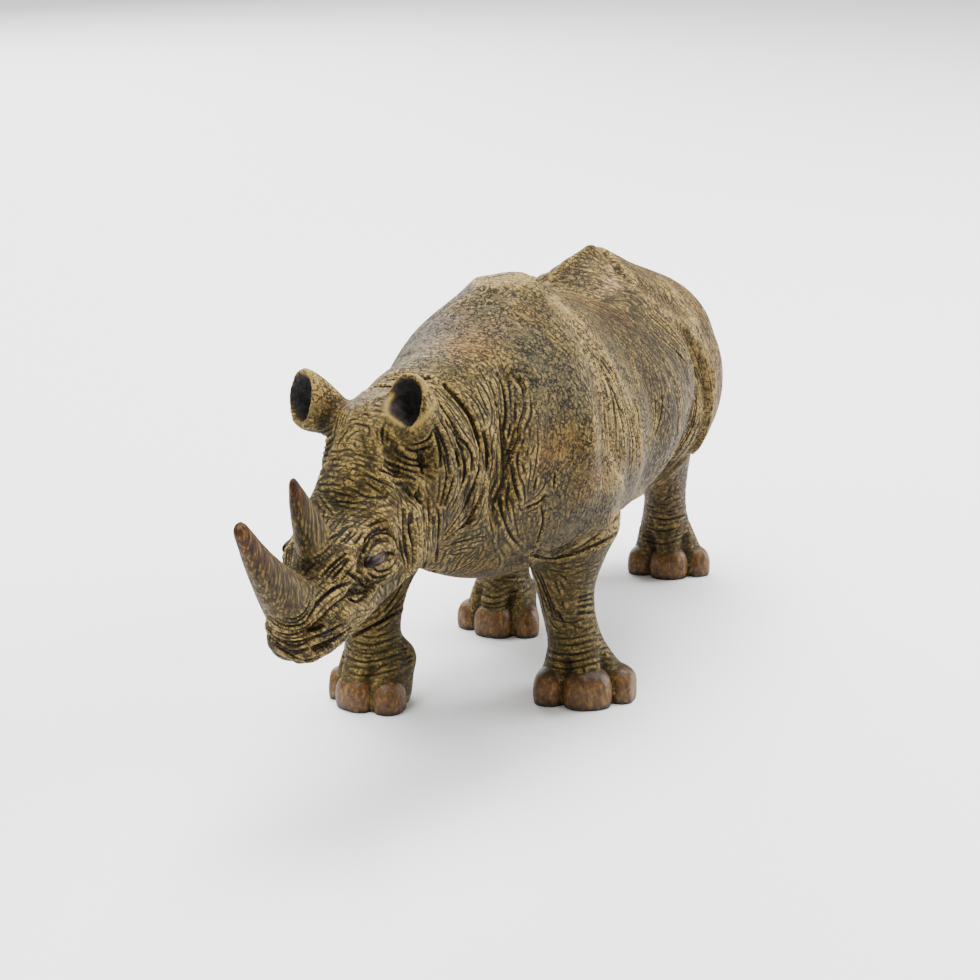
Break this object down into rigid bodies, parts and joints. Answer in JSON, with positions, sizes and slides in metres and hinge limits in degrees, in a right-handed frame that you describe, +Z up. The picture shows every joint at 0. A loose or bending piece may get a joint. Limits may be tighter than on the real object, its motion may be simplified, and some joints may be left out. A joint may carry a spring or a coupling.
{
  "type": "rhinoceros figurine",
  "caption": "Solid moulded rhinoceros in mid stride, head lowered, with horns, cupped ears, folded hide and toed feet; it stands on flat soles.",
  "frame": {"origin": "on the ground plane, under the middle of the figure's bounding box", "axes": "+Z up, -Y the way the animal faces, +X the animal's left"},
  "size_m": [0.0511, 0.1761, 0.075],
  "materials": {
    "painted_skin": "hand-painted vinyl with a dark wash in the folds and a tan dry brush"
  },
  "bodies": {
    "root": {"rhinoceros": "painted_skin"}
  },
  "joints": []
}
